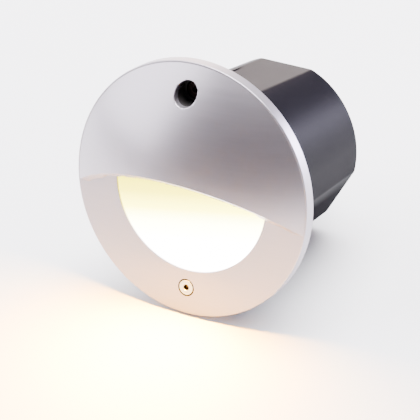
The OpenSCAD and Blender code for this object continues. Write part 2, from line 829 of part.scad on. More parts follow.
module terminal_screw(x) {
    color([0.7, 0.7, 0.68])
    difference() {
        union() {
            rod(t_head_r, y_t_head, y_t_head + t_head_h, x, block_zc);
            rod(t_shank_r, y_bar + bar_t + fit, y_t_head + eps, x, block_zc);
        }
        block([x - t_head_r - 1, y_t_head + t_head_h - 0.9, block_zc - 0.35],
            [x + t_head_r + 1, y_t_head + t_head_h + 1, block_zc + 0.35]);
    }
}

module terminal_screw_live() { terminal_screw(poles[0]); }
module terminal_screw_neutral() { terminal_screw(poles[1]); }
module terminal_screw_earth() { terminal_screw(poles[2]); }

// Leads between the terminal block, the driver, the heat sink and the LED board
module lead_live() {
    color([0.45, 0.25, 0.12]) lead(mains_route(poles[0]), lead_d, [1, 0, 0], lead_steps);
}

module lead_neutral() {
    color([0.12, 0.3, 0.7]) lead(mains_route(poles[1]), lead_d, [1, 0, 0], lead_steps);
}

module lead_earth() {
    color([0.35, 0.6, 0.15]) lead(earth_route, lead_d, [0, 1, 0], lead_steps);
}

module led_lead_plus() {
    color([0.75, 0.08, 0.06]) lead(led_route(led_entry_x[0], wire_hole[0] - 0.9), led_lead_d, [1, 0, 0]);
}

module led_lead_minus() {
    color([0.05, 0.05, 0.05]) lead(led_route(led_entry_x[1], wire_hole[0] + 0.9), led_lead_d, [1, 0, 0]);
}

module earth_tag() {
    color([0.8, 0.8, 0.8])
    difference() {
        union() {
            rod(tag_r, y_sink_back, y_sink_back + tag_t, earth_at[0], earth_at[1]);
            block([barrel_x - eps, y_sink_back, earth_at[1] - barrel[2] / 2],
                [earth_at[0], y_sink_back + tag_t, earth_at[1] + barrel[2] / 2]);
            block([barrel_end, y_sink_back, earth_at[1] - barrel[2] / 2],
                [barrel_x, y_sink_back + barrel[1], earth_at[1] + barrel[2] / 2]);
        }
        rod(shank_r + 0.15, y_sink_back - 1, y_sink_back + 2, earth_at[0], earth_at[1]);
    }
}

module earth_screw() {
    color([0.75, 0.75, 0.73])
    union() {
        rod(m4_head_r, y_sink_back + tag_t, y_sink_back + tag_t + m4_head_h, earth_at[0], earth_at[1]);
        rod(shank_r, y_sink_back - screw_reach, y_sink_back + tag_t + eps, earth_at[0], earth_at[1]);
    }
}

// Cable gland through the middle of the rear wall
module gland_body() {
    color([0.13, 0.13, 0.14])
    difference() {
        union() {
            rod(gland_d / 2, y_rear_in - g_spigot, y_hex + eps);
            hex_rod(g_hex_r, y_hex, y_g_thread);
            rod(g_outer_r, y_g_thread - eps, y_g_end);
        }
        rod(g_bore_r, y_rear_in - g_spigot - 1, y_g_end + 1);
        rod(g_seat_r, y_seat, y_g_end + 1);
    }
}

module gland_washer() {
    color([0.05, 0.05, 0.05]) ring(g_washer_r, gland_d / 2 + 0.1, y_rear, y_hex);
}

module gland_lock_nut() {
    color([0.13, 0.13, 0.14])
    difference() {
        hex_rod(g_hex_r, y_rear_in - g_lock_t, y_rear_in);
        rod(gland_d / 2 + fit, y_rear_in - g_lock_t - 1, y_rear_in + 1);
    }
}

module gland_seal() {
    color([0.08, 0.08, 0.08])
    difference() {
        union() {
            rod(g_seat_r - fit, y_seat, y_g_end + eps);
            rod(g_lip_r, y_g_end, y_g_end + g_lip_t);
        }
        rod(cable_hole_d / 2, y_seat - 1, y_g_end + g_lip_t + 1);
    }
}

module gland_slip_ring() {
    color([0.85, 0.85, 0.85]) ring(g_slip_r, g_nut_hole_r, y_slip, y_slip + g_slip_t);
}

module gland_nut() {
    color([0.13, 0.13, 0.14])
    difference() {
        union() {
            hex_rod(g_hex_r, y_nut, y_nut_wall - 2);
            cone(gland_af / 2 - 0.2, g_nut_hole_r + 2.2, y_nut_wall - 2 - eps, y_nut_end);
        }
        rod(g_outer_r + fit, y_nut - 1, y_nut_wall);
        rod(g_nut_hole_r, y_nut, y_nut_end + 1);
    }
}

recess_housing();
threaded_inserts();
cover_gasket();
front_cover();
diffuser_gasket();
diffuser();
diffuser_snap_ring();
cover_screw_top();
cover_screw_bottom();
screw_washer_top();
screw_washer_bottom();
reflector();
led_board();
leds();
led_board_screws();
heat_sink();
heat_sink_screws();
driver_case();
driver_lid();
driver_board();
driver_transformer();
driver_capacitors();
driver_screws();
terminal_block();
terminal_bars();
terminal_block_screws();
terminal_cage_live();
terminal_cage_neutral();
terminal_cage_earth();
terminal_screw_live();
terminal_screw_neutral();
terminal_screw_earth();
lead_live();
lead_neutral();
lead_earth();
earth_tag();
earth_screw();
led_lead_plus();
led_lead_minus();
gland_body();
gland_washer();
gland_lock_nut();
gland_seal();
gland_slip_ring();
gland_nut();
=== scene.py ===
import math

import bpy
from mathutils import Matrix, Vector


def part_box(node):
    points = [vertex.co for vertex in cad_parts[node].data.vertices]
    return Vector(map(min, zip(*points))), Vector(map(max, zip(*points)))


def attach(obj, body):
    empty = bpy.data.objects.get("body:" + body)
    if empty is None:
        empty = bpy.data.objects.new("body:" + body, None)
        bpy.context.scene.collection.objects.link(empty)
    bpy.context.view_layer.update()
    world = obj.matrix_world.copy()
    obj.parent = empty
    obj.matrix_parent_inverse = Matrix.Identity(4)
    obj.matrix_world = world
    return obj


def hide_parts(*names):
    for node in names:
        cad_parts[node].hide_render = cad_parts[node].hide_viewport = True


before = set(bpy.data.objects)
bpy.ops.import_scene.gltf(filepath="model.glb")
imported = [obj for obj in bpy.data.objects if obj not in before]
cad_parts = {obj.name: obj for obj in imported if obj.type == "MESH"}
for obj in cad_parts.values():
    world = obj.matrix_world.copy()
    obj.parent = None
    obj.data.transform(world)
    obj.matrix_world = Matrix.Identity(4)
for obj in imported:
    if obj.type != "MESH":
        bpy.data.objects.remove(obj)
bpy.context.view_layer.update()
MM = 0.001
scene = bpy.context.scene

# Front cover, in millimetres like every size below
PLATE_R = 60.0
FACE_Y = -5.8
PLATE_BACK_Y = -2.8
RIM_IN_R = 57.0
RIM_END_Y = -0.1
RIM_ROUND = 0.45
OPENING_R = 39.0
OPENING_ROUND = 0.25
OPENING_ROUND_MIDDLE = 0.08
HOOD_EDGE_R = 59.3
HOOD_H = 20.5
HOOD_WALL = 2.8
HOOD_TRIM = 0.15
HOOD_DROP = 8.5
HOOD_TILT = math.radians(41.8)
HOOD_R = (HOOD_EDGE_R ** 2 + HOOD_H ** 2) / (2 * HOOD_H)
HOOD_CENTRE_Y = FACE_Y - HOOD_H + HOOD_R
HOOD_FOOT_Y = FACE_Y + 1.5
LIP_START_Y = FACE_Y - 0.4
LIP_ROUND = 2.3
HOLE_ROUND = 0.3
# Depth under the hood's face where the painted shade in the driver hole begins
HOLE_SHADE_DEPTH = 2.6
SCREW_Z = 47.5
ACCESS_R = 5.6
GUIDE_R = 7.0
SPIGOT_R = 43.0
SPIGOT_IN_R = 41.6
SPIGOT_END_Y = 3.2
FIXING_X = 50.0
FIXING_R = 2.25
POCKET_R = 4.8
POCKET_T = 1.6

# Cover screws, whose shank and thread are measured from the neck under the head
HEAD_R = 3.5
HEAD_CHAMFER = 0.06
SHANK_R = 2.0
SHANK_L = 1.2
SHANK_TAPER_END = 1.6
SCREW_TIP_Y = 6.2
TIP_L = 0.4
TIP_TAPER = 0.5
THREAD_DEPTH = 0.38
THREAD_SUNK = 0.05
THREAD_FOOT_SHARE = 0.42
THREAD_CREST_HALF = 0.06
THREAD_CREST_R = SHANK_R - 0.01
THREAD_PITCH = 0.7
THREAD_TURNS = 11
THREAD_START = 1.9
SINK_R = 4.2
SCREW_HOLE_R = 2.25
SOCKET_R = 1.443
SOCKET_T = 1.4
SOCKET_LEAD_IN = 0.28
SOCKET_LEAD_END = 0.1

# Diffuser
DIFFUSER_GAP = 0.2
DIFFUSER_WALL = 2.0
DIFFUSER_FLANGE_R = 41.3
DIFFUSER_FLANGE_Y = -2.0

# Housing
FLANGE_R = 56.6
FLANGE_Y = -2.0
MOUTH_R = 43.4
MOUTH_Y = 5.2
COLLAR_R = 45.6
COLLAR_Y = 7.4
BODY_R = 44.0
BODY_Y = 1.0
BODY_ROUND = 1.3
CAVITY_ROUND = 0.8
FLAT_AT = 41.7
DRAFT = math.radians(3.25)
WALL = 2.2
REAR_Y = 77.7
REAR_IN_Y = 75.2
BOSS_R = 4.6
BOSS_Y = 9.0
INSERT_R = 2.81
INSERT_Y = 4.0
BOSS_HOLE_Y = 7.5
GROOVE_X = -11.7
GROOVE_W = 1.4
GROOVE_START = 24.0
GROOVE_END = 59.2
GROOVE_RUN_OUT = 5.0
GROOVE_FLOOR = FLAT_AT - math.tan(DRAFT) * GROOVE_END
RIB_W = 4.4
RIB_WALL = 1.6
SINK_BACK_Y = 38.0
POST_AT = 33.54
POST_R = 4.0
POST_HOLE_R = 1.5
POST_HOLE_Y = 44.0
WEB_T = 3.0
WEB_START = POST_AT + POST_HOLE_R + 1.0
FLATS = [90, 210, 330]
POSTS = [30, 150, 270]

# LEDs: each ring has a radius, a number of LEDs and the first one's angle
LED_RINGS = [(20.0, 12, 15), (10.0, 6, 0)]
LED_HALF = 1.5
LED_WINDOW_R = 1.25
LED_WINDOW_T = 0.2
LED_WINDOW_CHAMFER = 0.1
LED_WINDOW_PROUD = 0.05

# Cable gland
GLAND_R = 8.0
GLAND_HOLE_GAP = 0.1
GLAND_HEX = 11.547
GLAND_HEX_CHAMFER_R = 10.1
GLAND_HEX_Y = 78.9
GLAND_THREAD_Y = 83.9
GLAND_END_Y = 92.9
GLAND_SPIGOT_Y = 69.2
GLAND_OUTER_R = 7.4
GLAND_BORE_R = 4.6
GLAND_SEAT_R = 5.8
GLAND_SEAT_Y = 84.9
SEAL_LIP = 0.8
SEAL_LIP_T = 1.2
FIT_GAP = 0.05
NUT_Y = 84.7
NUT_WALL_Y = 95.2
NUT_END_Y = 98.0
NUT_HOLE_R = 5.0
NUT_SHOULDER_Y = 91.6
NUT_CHAMFER_R = 10.4
NUT_CHAMFER_Y = 0.7
NUT_RING_W = 2.2
NUT_DOME_W = 2.9
NUT_DOME_Y = 4.4
CABLE_R = 4.0
HEX_TURN = math.pi / 6
CORNER_GAP = 0.1
CORNER_SLOPE = 0.5

# Ends of the cutting tools, outside what they cut, and how far one form runs into the next
FLANGE_CUT_Y = 5.0
HOLE_CUT_Y = -60.0
GUIDE_START_Y = -40.0
GLAND_CUT_START_Y = 60.0
GLAND_CUT_END_Y = 110.0
REAR_CUT_END_Y = 90.0
OUTSIDE = 80.0
FAR = 150.0
PAST = 1.0
OVERLAP = 0.5

# Meshes: points closer than a gap are welded, and edges up to the angle are shaded smooth
WELD_GAP = 0.002
ROUND_WELD_GAP = 0.1
SMOOTH_ANGLE = math.radians(38)

# How close to a face of the cover a point counts as on it
ON_SLOPE = 0.01
ON_HOLE = 0.03
ON_SHELL = 0.1


# Selecting and editing
def deselect():
    if bpy.context.object and bpy.context.object.mode != "OBJECT":
        bpy.ops.object.mode_set(mode="OBJECT")
    bpy.ops.object.select_all(action="DESELECT")


def pick(piece):
    deselect()
    piece.select_set(True)
    bpy.context.view_layer.objects.active = piece


def edit(piece, action="SELECT"):
    pick(piece)
    bpy.ops.object.mode_set(mode="EDIT")
    bpy.ops.mesh.select_all(action=action)


def leave():
    bpy.ops.object.mode_set(mode="OBJECT")


def settle(piece):
    """Moves the piece's place, turn and scale into its mesh."""
    pick(piece)
    bpy.ops.object.transform_apply(location=True, rotation=True, scale=True)
    return piece


def facing_out(piece):
    """Welds points that lie together and turns every face outwards."""
    edit(piece)
    bpy.ops.mesh.remove_doubles(threshold=WELD_GAP * MM)
    bpy.ops.mesh.normals_make_consistent(inside=False)
    leave()
    return piece


# Starting shapes
def cone(name, r0, r1, y0, y1, x=0.0, z=0.0, sides=96, phase=0.0):
    """A cone along Y, from radius r0 at y0 to r1 at y1."""
    deselect()
    bpy.ops.mesh.primitive_cone_add(
        vertices=sides, radius1=r0 * MM, radius2=r1 * MM, depth=(y1 - y0) * MM, end_fill_type="NGON",
        location=(x * MM, (y0 + y1) / 2 * MM, z * MM), rotation=(-math.pi / 2, phase, 0))
    bpy.context.object.name = name
    return settle(bpy.context.object)


def bar(name, radius, y0, y1, **settings):
    """A bar of one radius along Y, from y0 to y1."""
    return cone(name, radius, radius, y0, y1, **settings)


def box(name, low, high, turn=None):
    """A box between two corners, then turned by a matrix."""
    deselect()
    middle = [(a + b) / 2 * MM for a, b in zip(low, high)]
    size = [(b - a) * MM for a, b in zip(low, high)]
    bpy.ops.mesh.primitive_cube_add(size=1, location=middle, scale=size)
    bpy.context.object.name = name
    piece = settle(bpy.context.object)
    if turn:
        piece.data.transform(turn)
    return piece


def outline(name, points):
    """One point, drawn on along the given (x, y) points in the plane z = 0."""
    deselect()
    first = Vector((points[0][0], points[0][1], 0)) * MM
    bpy.ops.mesh.primitive_plane_add(size=MM, location=first)
    bpy.context.object.name = name
    piece = settle(bpy.context.object)
    edit(piece)
    bpy.ops.mesh.merge(type="CENTER")
    for (x0, y0), (x1, y1) in zip(points, points[1:]):
        step = ((x1 - x0) * MM, (y1 - y0) * MM, 0)
        bpy.ops.mesh.extrude_vertices_move(TRANSFORM_OT_translate={"value": step})
    leave()
    return piece


def turned(name, points, z=0.0, sides=96):
    """An outline of (radius, y) points, spun about an axis along Y; a ring's outline is closed first."""
    piece = outline(name, points if points[0][0] == 0 else points + points[:1])
    edit(piece)
    bpy.ops.mesh.remove_doubles(threshold=WELD_GAP * MM)
    bpy.ops.mesh.spin(steps=sides, angle=2 * math.pi, center=(0, 0, 0), axis=(0, 1, 0))
    leave()
    facing_out(piece)
    piece.data.transform(Matrix.Translation((0, 0, z * MM)))
    return piece


def polar(radius, angle):
    """The place of a point at a radius and an angle in degrees about the Y axis, from +X towards +Z."""
    return {"x": radius * math.cos(math.radians(angle)), "z": radius * math.sin(math.radians(angle))}


# Shaping and finishing
def modify(piece, kind, **settings):
    pick(piece)
    modifier = piece.modifiers.new(kind.lower(), kind)
    for key, value in settings.items():
        setattr(modifier, key, value)
    bpy.ops.object.modifier_apply(modifier=modifier.name)
    return piece


def combine(piece, operation, *others):
    for other in others:
        modify(piece, "BOOLEAN", operation=operation, object=other, solver="EXACT")
        bpy.data.objects.remove(other)
    return piece


def join(piece, *others):
    return combine(piece, "UNION", *others)


def cut(piece, *others):
    return combine(piece, "DIFFERENCE", *others)


def trim(piece, other):
    return combine(piece, "INTERSECT", other)


def clean(piece, gap=0.02):
    """Removes the slivers that cutting and joining leave."""
    edit(piece)
    bpy.ops.mesh.remove_doubles(threshold=gap * MM)
    bpy.ops.mesh.dissolve_degenerate(threshold=gap * MM)
    bpy.ops.mesh.normals_make_consistent(inside=False)
    leave()
    return piece


def bevel(piece, width, angle, segments):
    return modify(piece, "BEVEL", width=width * MM, segments=segments, limit_method="ANGLE",
                  angle_limit=math.radians(angle), use_clamp_overlap=True, miter_outer="MITER_ARC")


def smooth(piece):
    """Smooth shading that leaves the large flat faces flat."""
    pick(piece)
    bpy.ops.object.shade_smooth_by_angle(angle=SMOOTH_ANGLE)
    return modify(piece, "WEIGHTED_NORMAL", keep_sharp=True)


def soften(piece, width, angle=32, segments=3):
    """Rounds every edge sharper than the angle, and shades the rest smooth."""
    bevel(piece, width, angle, segments)
    return smooth(piece)


def round_edges(piece, chosen, width, segments=2):
    """Rounds the edges whose ends are both chosen by their place in millimetres."""
    edit(piece, "DESELECT")
    bpy.ops.mesh.select_mode(type="EDGE")
    leave()
    picked = [chosen(vertex.co / MM) for vertex in piece.data.vertices]
    for edge in piece.data.edges:
        edge.select = picked[edge.vertices[0]] and picked[edge.vertices[1]]
    bpy.ops.object.mode_set(mode="EDIT")
    bpy.ops.mesh.remove_doubles(threshold=ROUND_WELD_GAP * MM)
    bpy.ops.mesh.bevel(offset=width * MM, segments=segments, affect="EDGES", clamp_overlap=False)
    bpy.ops.mesh.select_mode(type="VERT")
    leave()
    return piece


def copy_of(piece, name, x=0.0, z=0.0):
    other = piece.copy()
    other.data = piece.data.copy()
    other.name = name
    scene.collection.objects.link(other)
    other.data.transform(Matrix.Translation((x * MM, 0, z * MM)))
    return other


def dress(piece, finish, body, slot, *replaced):
    piece.data.materials.clear()
    piece.data.materials.append(finish)
    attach(piece, body)
    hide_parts(*replaced)
    return piece


# Shader maths
class Value:
    """A socket in a material, with the usual arithmetic on it."""

    def __init__(self, material, socket):
        self.material = material
        self.socket = socket

    def math(self, operation, *others, clamp=False):
        sockets = dict(enumerate((self, *others)))
        return self.material.node("ShaderNodeMath", {"operation": operation, "use_clamp": clamp}, sockets)

    def __add__(self, other):
        return self.math("ADD", other)

    def __sub__(self, other):
        return self.math("SUBTRACT", other)

    def __mul__(self, other):
        return self.math("MULTIPLY", other)

    def __pow__(self, other):
        return self.math("POWER", other)

    def __rsub__(self, other):
        return self.material.node("ShaderNodeMath", {"operation": "SUBTRACT"}, {0: other, 1: self})

    __radd__ = __add__

    def absolute(self):
        return self.math("ABSOLUTE")

    def clamped(self):
        return self.math("ADD", 0.0, clamp=True)

    def mask(self, slope):
        """0 below zero, then up the slope to 1."""
        return (self * slope).clamped()


class Material:
    """A Principled material whose sockets take numbers, colours or values."""

    def __init__(self, name, **constants):
        self.data = bpy.data.materials.new(name)
        self.data.use_nodes = True
        self.tree = self.data.node_tree
        self.shader = self.tree.nodes["Principled BSDF"]
        for key, value in constants.items():
            self.set(key.replace("_", " "), value)

    def fill(self, entry, value):
        if isinstance(value, Value):
            self.tree.links.new(value.socket, entry)
        elif entry.type == "RGBA":
            entry.default_value = (*value, 1)
        else:
            entry.default_value = value

    def set(self, socket, value):
        self.fill(self.shader.inputs[socket], value)

    def node(self, kind, settings=(), sockets=(), output=0):
        node = self.tree.nodes.new(kind)
        for key, value in dict(settings).items():
            setattr(node, key, value)
        for key, value in dict(sockets).items():
            self.fill(node.inputs[key], value)
        return Value(self, node.outputs[output])

    def coordinates(self):
        return self.node("ShaderNodeTexCoord", output="Object")

    def axes(self):
        """The object's own x, y and z."""
        split = self.node("ShaderNodeSeparateXYZ", {}, {0: self.coordinates()}).socket.node
        return [Value(self, output) for output in split.outputs]

    def noise(self, scale, detail=3.0, stretch=(1, 1, 1)):
        """Noise whose scale is multiplied along each axis by the stretch."""
        place = self.node("ShaderNodeMapping", {}, {"Vector": self.coordinates(), "Scale": stretch})
        sockets = {"Vector": place, "Scale": scale, "Detail": detail}
        return self.node("ShaderNodeTexNoise", {}, sockets, "Fac")

    def blend(self, share, first, second):
        return self.node("ShaderNodeMix", {"data_type": "RGBA"}, {0: share, 6: first, 7: second}, 2)

    def ramp(self, value, stops):
        """A colour for each value, between stops of (place, colour) in rising order."""
        colours = self.node("ShaderNodeValToRGB", {}, {0: value})
        marks = colours.socket.node.color_ramp.elements
        for place, colour in stops[1:-1]:
            marks.new(place)
        for mark, (place, colour) in zip(marks, stops):
            mark.position = place
            mark.color = (*colour, 1)
        return colours

    def bump(self, height, strength, distance):
        sockets = {"Height": height, "Strength": strength, "Distance": distance}
        self.set("Normal", self.node("ShaderNodeBump", {}, sockets, "Normal"))
        return self.data


def shade(colour, factor):
    return tuple(min(1.0, part * factor) for part in colour)


def length(*parts):
    """The length of the vector that has these values as its parts."""
    squares = [part * part for part in parts]
    return sum(squares[1:], squares[0]) ** 0.5


# Finishes
LIT = 16.0
# Painted shade in the driver hole: its colour, the radius it reaches and how sharply it starts
HOLE_PAINTED_SHADE = (0.006, 0.004, 0.004)
HOLE_SHADE_R = GUIDE_R * 0.9
HOLE_SHADE_SLOPE = 4000.0
# Painted shade inside the screw's hexagon socket: its colour and how sharply it starts
SOCKET_PAINTED_SHADE = (0.05, 0.035, 0.02)
SOCKET_MASK = 8000.0
SOCKET_MASK_GAP = 0.12
TRACE_HALF = 0.9
UNDERSIDE_Z = 4.0
UNDERSIDE_SLOPE = 45.0
UNDERSIDE_MATT = 0.88
# Painted shade of the hood on the diffuser: how it runs across and up, and where its middle lies
HOOD_SHADE_ACROSS = 5.2
HOOD_SHADE_UP = 29.0
HOOD_SHADE_MIDDLE = 0.725
TOOL_MARKS = (300, 2600, 300)


def anodised_casting(name, colour, rough, metallic):
    """Satin anodised die casting: level brushing over a fine grain, with painted shade (black, matt, not
    metallic) deep in the driver hole.
    """
    m = Material(name)
    x, y, z = m.axes()
    grain = m.noise(2600.0, detail=2.0)
    brushed = m.noise(1.0, stretch=(50, 50, 1100))
    drift = m.noise(20.0)
    mottle = (drift * 0.35 + brushed * 0.5 + grain * 0.15).clamped()
    satin = m.blend(mottle, shade(colour, 0.84), colour)
    # Painted shade deep in the driver hole: black, matt and not metallic, where the bore gets little light
    in_hole = (HOLE_SHADE_R * MM - length(x, z - SCREW_Z * MM)).mask(HOLE_SHADE_SLOPE)
    below_lip = ((HOOD_R - HOLE_SHADE_DEPTH) * MM - length(x, y - HOOD_CENTRE_Y * MM, z)).mask(HOLE_SHADE_SLOPE)
    painted_shade = in_hole * below_lip
    m.set("Base Color", m.blend(painted_shade, satin, HOLE_PAINTED_SHADE))
    m.set("Metallic", (1.0 - painted_shade) * metallic)
    m.set("Roughness", rough - 0.05 + drift * 0.05 + brushed * 0.06 + painted_shade * 0.3)
    return m.bump(grain * 0.5 + brushed * 0.5, strength=0.07, distance=0.00006)


def erode(m, colour, rough, light, strength):
    """Spark-eroded plastic: a fine even texture with slightly paler, rougher patches, which it returns."""
    fine = m.noise(1500.0)
    patches = m.noise(34.0, detail=4.0)
    m.set("Base Color", m.blend((patches * 0.7 + fine * 0.3).clamped(), colour, shade(colour, light)))
    m.set("Roughness", rough - 0.06 + patches * 0.1 + fine * 0.03)
    m.bump(fine, strength, distance=0.00008)
    return patches


def moulded(name, colour, rough, specular=0.5, light=1.35):
    m = Material(name, Specular_IOR_Level=specular)
    erode(m, colour, rough, light, strength=0.14)
    return m.data


def housing_black(name, colour, rough):
    """Black plastic with a satin face that turns matt towards the underside."""
    m = Material(name, Specular_IOR_Level=0.035)
    z = m.axes()[2]
    patches = erode(m, colour, rough, light=1.5, strength=0.1)
    matt = m.node("ShaderNodeBsdfPrincipled", {}, {"Base Color": shade(colour, 1.2), "Roughness": 0.9,
                                                   "Specular IOR Level": 0.0})
    underside = ((UNDERSIDE_Z * MM - z) * UNDERSIDE_SLOPE + patches * 0.1).clamped() * UNDERSIDE_MATT
    shaders = {0: underside, 1: Value(m, m.shader.outputs[0]), 2: matt}
    mixed = m.node("ShaderNodeMixShader", {}, shaders)
    m.tree.links.new(mixed.socket, m.tree.nodes["Material Output"].inputs["Surface"])
    return m.data


def machined(name, colour, rough, marks_along=TOOL_MARKS):
    """Machined or plated metal with fine tool marks."""
    m = Material(name, Metallic=1.0)
    marks = m.noise(1.0, detail=2.0, stretch=marks_along)
    m.set("Base Color", m.blend(m.noise(120.0), shade(colour, 0.84), colour))
    m.set("Roughness", rough + marks * 0.12)
    return m.bump(marks, strength=0.1, distance=0.00005)


def screw_head_steel(name, colour, rough):
    """Turned stainless steel, with painted shade, dark brown, inside the hexagon socket."""
    m = Material(name, Metallic=1.0)
    x, y, z = m.axes()
    marks = m.noise(1.0, detail=2.0, stretch=TOOL_MARKS)
    off_axis = length(x, z.absolute() - SCREW_Z * MM)
    in_socket = ((SOCKET_R + SOCKET_MASK_GAP) * MM - off_axis).mask(SOCKET_MASK)
    below_face = (y - (FACE_Y + SOCKET_MASK_GAP) * MM).mask(SOCKET_MASK)
    steel = m.blend(marks, shade(colour, 0.86), colour)
    # Painted shade inside the hexagon socket
    m.set("Base Color", m.blend(in_socket * below_face, steel, SOCKET_PAINTED_SHADE))
    m.set("Roughness", rough + marks * 0.12)
    return m.bump(marks, strength=0.1, distance=0.00005)


def rubber(name, colour, specular=0.5):
    m = Material(name, Specular_IOR_Level=specular)
    speckle = m.noise(900.0, detail=4.0)
    m.set("Base Color", m.blend(speckle, colour, shade(colour, 1.5)))
    m.set("Roughness", 0.6 + speckle * 0.2)
    return m.bump(speckle, strength=0.2, distance=0.0001)


def insulation(name, colour):
    """Lead insulation: glossy extruded plastic with faint draw lines."""
    m = Material(name)
    lines = m.noise(1.0, detail=2.0, stretch=(1800, 200, 200))
    m.set("Base Color", m.blend(lines, shade(colour, 0.8), colour))
    m.set("Roughness", 0.3 + lines * 0.12)
    return m.bump(lines, strength=0.08, distance=0.00005)


def white_reflector(name):
    """Bright white moulding with a soft pearl grain."""
    m = Material(name)
    pearl = m.noise(700.0)
    m.set("Base Color", m.blend(m.noise(30.0), (0.84, 0.84, 0.82), (0.92, 0.92, 0.91)))
    m.set("Roughness", 0.28 + pearl * 0.12)
    return m.bump(pearl, strength=0.08, distance=0.00006)


def lit_opal(name):
    """Opal diffuser lit from behind, with painted shade of the hood: its colour and glow turn darker and
    yellower where the hood is close above it.
    """
    m = Material(name, Roughness=0.35, Emission_Strength=LIT, Specular_IOR_Level=0.06)
    x, y, z = m.axes()
    grain = m.noise(900.0)
    # Painted shade of the hood: a darker colour and a dimmer, yellower glow where the hood is close above
    hood_shade = (z * HOOD_SHADE_UP - x * HOOD_SHADE_ACROSS + (grain - 0.5) * 0.04 + HOOD_SHADE_MIDDLE).clamped()
    m.set("Base Color", m.blend(hood_shade, (0.82, 0.80, 0.74), (0.05, 0.042, 0.001)))
    glow_under_hood_shade = [(0.0, (1.0, 0.98, 0.95)), (0.26, (1.0, 0.95, 0.55)), (0.44, (0.72, 0.65, 0.06)),
                    (0.66, (0.42, 0.38, 0.0)), (1.0, (0.34, 0.30, 0.0))]
    m.set("Emission Color", m.ramp(hood_shade, glow_under_hood_shade))
    return m.bump(grain, strength=0.05, distance=0.00005)


def circuit_board(name, mask, trace, rings=()):
    """Solder mask over copper: the traces show as slightly paler, raised bands."""
    m = Material(name)
    weave = m.noise(1400.0, detail=2.0)
    if rings:
        x, y, z = m.axes()
        radius = length(x, z)
        bands = [(1.0 - (radius - r * MM).absolute() * (1 / (TRACE_HALF * MM))).clamped() for r in rings]
        copper = sum(bands[1:], bands[0]).mask(4.0)
    else:
        copper = (m.noise(1.0, detail=0.0, stretch=(900, 300, 300)) - 0.5).mask(14.0)
    m.set("Base Color", m.blend(copper, m.blend(weave, shade(mask, 0.85), mask), trace))
    m.set("Roughness", 0.42 - copper * 0.12)
    return m.bump(copper * 0.6 + weave * 0.2, strength=0.25, distance=0.00008)


def phosphor(name):
    m = Material(name, Roughness=0.25, Emission_Strength=1.5)
    grain = m.noise(3000.0)
    m.set("Base Color", m.blend(grain, (0.85, 0.62, 0.05), (0.95, 0.78, 0.18)))
    m.set("Emission Color", m.blend(grain, (1.0, 0.72, 0.25), (1.0, 0.86, 0.45)))
    return m.bump(grain, strength=0.1, distance=0.00005)


silver = anodised_casting("silver_anodised_casting", (0.455, 0.422, 0.468), rough=0.36, metallic=0.92)
black = housing_black("black_moulded_housing", (0.0035, 0.003, 0.005), rough=0.38)
gland_black = moulded("black_gland_plastic", (0.014, 0.014, 0.016), rough=0.42, specular=0.4)
white_plastic = moulded("white_plastic", (0.74, 0.74, 0.71), rough=0.45, light=1.08)
cream_plastic = moulded("cream_plastic", (0.74, 0.72, 0.63), rough=0.45, light=1.08)
screw_steel = screw_head_steel("stainless_cover_screw", (1.0, 0.93, 0.68), rough=0.36)
# The top cover screw: the same steel as the bottom one, painted near-black as shade deep in the driver hole
shaded_screw_steel = machined("painted_shade_cover_screw", (0.035, 0.022, 0.02), rough=0.5)
zinc = machined("zinc_plated_screw", (0.66, 0.67, 0.68), rough=0.3)
brass = machined("brass", (0.72, 0.52, 0.22), rough=0.28)
bare_aluminium = machined("extruded_aluminium", (0.68, 0.69, 0.70), rough=0.35,
                          marks_along=(2200, 250, 2200))
seal_black = rubber("black_seal", (0.01, 0.01, 0.01))
washer_black = rubber("matt_washer", (0.0008, 0.0006, 0.0002), specular=0.02)
seal_pale = rubber("pale_silicone", (0.55, 0.55, 0.52))
reflector_white = white_reflector("reflector_white")
opal = lit_opal("lit_opal_diffuser")
led_traces = [radius for radius, count, first in LED_RINGS]
led_mask = circuit_board("white_led_board", (0.72, 0.73, 0.70), (0.86, 0.85, 0.80), rings=led_traces)
green_mask = circuit_board("green_driver_board", (0.008, 0.09, 0.025), (0.03, 0.2, 0.06))
tape = moulded("transformer_tape", (0.62, 0.43, 0.05), rough=0.35, light=1.15)
sleeve = moulded("capacitor_sleeve", (0.01, 0.01, 0.035), rough=0.22)

FINISHES = {
    "recess_housing": black, "front_cover": silver, "diffuser": opal, "reflector": reflector_white,
    "threaded_inserts": brass, "terminal_bars": brass, "heat_sink": bare_aluminium,
    "diffuser_gasket": seal_pale, "terminal_block": cream_plastic, "led_board": led_mask,
    "driver_board": green_mask, "driver_transformer": tape, "driver_capacitors": sleeve,
    "earth_tag": zinc, "gland_slip_ring": white_plastic, "driver_case": white_plastic,
    "driver_lid": white_plastic, "diffuser_snap_ring": white_plastic, "leds": white_plastic,
}
INSULATION = {
    "lead_live": (0.16, 0.06, 0.025), "lead_neutral": (0.02, 0.09, 0.5), "lead_earth": (0.1, 0.36, 0.04),
    "led_lead_plus": (0.5, 0.015, 0.01), "led_lead_minus": (0.01, 0.01, 0.01),
}
# A node without a finish of its own takes the first of these whose word is in its name
FINISH_BY_WORD = [
    ("screw_top", shaded_screw_steel), ("cover_screw", screw_steel), ("cage", brass), ("gasket", seal_black),
    ("screw_washer", washer_black), ("washer", seal_black), ("seal", seal_black), ("screw", zinc),
    ("gland", gland_black),
]
for name, colour in INSULATION.items():
    FINISHES[name] = insulation("insulation_" + name, colour)
for name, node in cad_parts.items():
    node.data.materials.clear()
    node.data.materials.append(FINISHES.get(name) or next(f for word, f in FINISH_BY_WORD if word in name))

